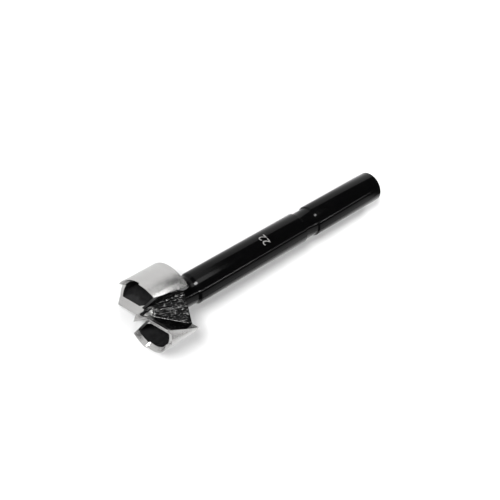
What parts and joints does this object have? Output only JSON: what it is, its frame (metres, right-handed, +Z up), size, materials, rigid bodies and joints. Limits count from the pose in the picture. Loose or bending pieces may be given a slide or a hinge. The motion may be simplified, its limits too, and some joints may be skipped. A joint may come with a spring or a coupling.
{
  "type": "forstner bit",
  "caption": "Forstner bit lying on its side: a round shank with a relief groove, and a head with lifters, hollow sectors, chip gullets, a wave-ground rim and a centre point.",
  "frame": {"origin": "centre of the bounding box, on the floor that the bit lies on", "axes": "+X from the centre point towards the shank end, +Y across the bit, +Z up; the bit's own axis rises 3.8 degrees from the shank end to the head"},
  "size_m": [0.0956, 0.0222, 0.0215],
  "materials": {
    "black_oxide": "semi-gloss black oxide over turned and forged tool steel, ground bright on the rim, lands, teeth and point",
    "ground_steel": "satin ground tool steel with fine grinding lines",
    "size_mark": "pale etched plain numerals on the shank"
  },
  "bodies": {
    "root": {"forstner_bit": "black_oxide"}
  },
  "joints": []
}
